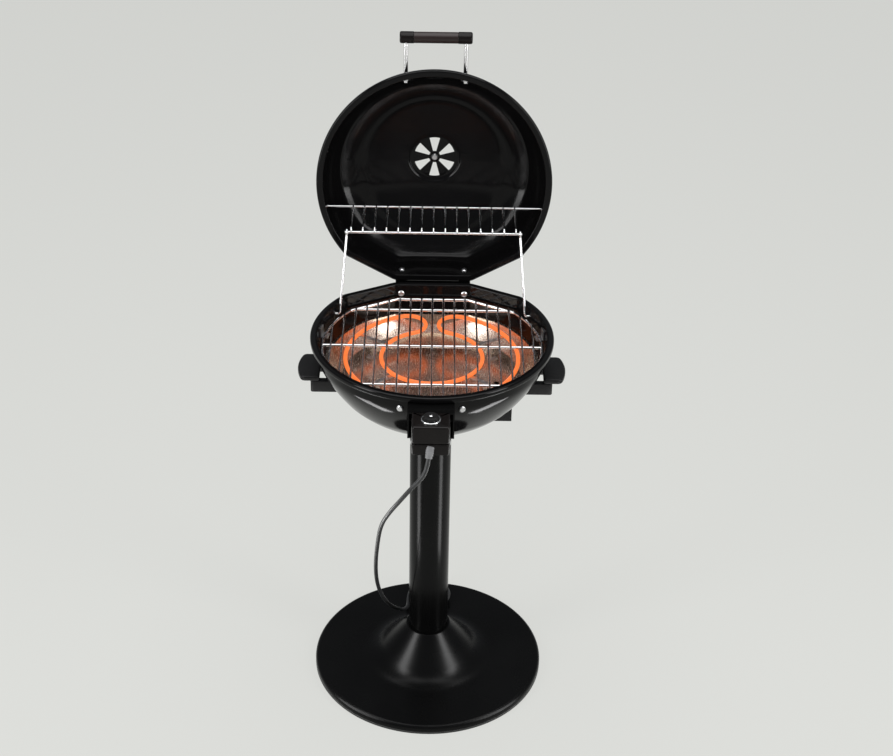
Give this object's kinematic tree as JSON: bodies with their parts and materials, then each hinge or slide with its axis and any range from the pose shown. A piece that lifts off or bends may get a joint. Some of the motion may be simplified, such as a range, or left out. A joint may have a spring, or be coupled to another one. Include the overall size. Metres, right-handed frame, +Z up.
{
  "type": "electric grill",
  "caption": "Free-standing electric grill: round base and pole, pressed bowl with wire grate and element, hinged vented lid with a folding warming rack, plug-in thermostat.",
  "frame": {"origin": "on the floor under the middle of the round base", "axes": "+Z up, -Y towards the cook at the front with the thermostat, +X to the cook's right"},
  "size_m": [0.45, 0.6244, 1.1262],
  "materials": {
    "black_enamel": "gloss enamel",
    "black_powder": "satin powder coat",
    "chrome_wire": "bright chrome plate",
    "zinc_steel": "zinc-plated",
    "reflector": "bright rolled sheet",
    "element_sheath": "oxidised sheath",
    "ceramic": "glazed ceramic",
    "black_plastic": "fine grain",
    "gloss_black_plastic": "gloss",
    "silver_trim": "plated plastic trim",
    "grey_plastic": "moulded",
    "black_rubber": "moulded",
    "cord_jacket": "smooth jacket",
    "plug_brass": "bare"
  },
  "bodies": {
    "stand": {"base_plate": "black_enamel", "base_ring": "black_rubber", "base_bridge": "black_powder", "pole_tube": "black_powder", "pole_foot": "zinc_steel", "pole_bolt": "zinc_steel", "pole_washer": "zinc_steel", "bowl_collar": "black_plastic", "collar_screws": "zinc_steel", "bowl_screws": "zinc_steel", "bowl_shell": "black_enamel", "bowl_rim": "black_enamel", "right_handle": "black_plastic", "left_handle": "black_plastic", "handle_screws": "zinc_steel", "grease_cup": "black_plastic", "grate_ring": "chrome_wire", "grate_cross_wires": "chrome_wire", "grate_bars": "chrome_wire", "grate_rests": "zinc_steel", "reflector_pan": "reflector", "heating_element": "element_sheath", "element_stands": "zinc_steel", "element_bushings": "ceramic", "terminal_pins": "zinc_steel", "terminal_bracket": "zinc_steel", "front_bolts": "zinc_steel", "terminal_shroud": "black_powder", "control_lower_case": "gloss_black_plastic", "control_upper_case": "gloss_black_plastic", "case_screws": "zinc_steel", "strain_relief": "grey_plastic", "probe": "zinc_steel", "dial_bezel": "silver_trim", "cord_coil": "cord_jacket", "cord_run": "cord_jacket", "cord_tie": "black_plastic", "plug_body": "black_rubber", "plug_pins": "plug_brass", "hinge_bowl_leaf": "black_powder", "hinge_bowl_screws": "zinc_steel", "hinge_pin": "zinc_steel"},
    "lid": {"hinge_lid_leaf": "black_powder", "hinge_lid_screws": "zinc_steel", "lid_shell": "black_enamel", "lid_rim": "black_enamel", "lid_grip": "gloss_black_plastic", "grip_end_caps": "gloss_black_plastic", "handle_posts": "chrome_wire", "handle_nuts": "zinc_steel", "vent_rivet": "zinc_steel"},
    "damper": {"vent_damper": "black_enamel", "damper_knob": "black_plastic"},
    "rack": {"rack_rods": "chrome_wire", "rack_wires": "chrome_wire"},
    "legs": {"rack_right_leg": "chrome_wire", "rack_left_leg": "chrome_wire"},
    "dial": {"dial_knob": "black_plastic", "dial_cap": "silver_trim"}
  },
  "joints": [
    {"name": "lid_hinge", "type": "hinge", "parent": "stand", "child": "lid", "pos_m": [0, 0.1846, 0.686], "axis": [1, 0, 0], "range_deg": [0, 95.5]},
    {"name": "rack_pivot", "type": "hinge", "parent": "lid", "child": "rack", "pos_m": [0, 0.23202, 0.81856], "axis": [1, 0, 0], "range_deg": [-95.5, 0]},
    {"name": "leg_pivot", "type": "hinge", "parent": "stand", "child": "legs", "pos_m": [0, 0.0958, 0.6815], "axis": [1, 0, 0], "range_deg": [0, 95.5]},
    {"name": "vent_turn", "type": "hinge", "parent": "lid", "child": "damper", "pos_m": [0, 0.32607, 0.8719], "axis": [0, 0.9954, -0.0958], "range_deg": [0, 30]},
    {"name": "dial_turn", "type": "hinge", "parent": "stand", "child": "dial", "pos_m": [0, -0.248, 0.69], "axis": [0, 0, 1], "range_deg": [-270, 0]}
  ],
  "couplings": [
    {"joint": "rack_pivot", "follows": "lid_hinge", "ratio": -1},
    {"joint": "leg_pivot", "follows": "lid_hinge", "ratio": 1}
  ]
}
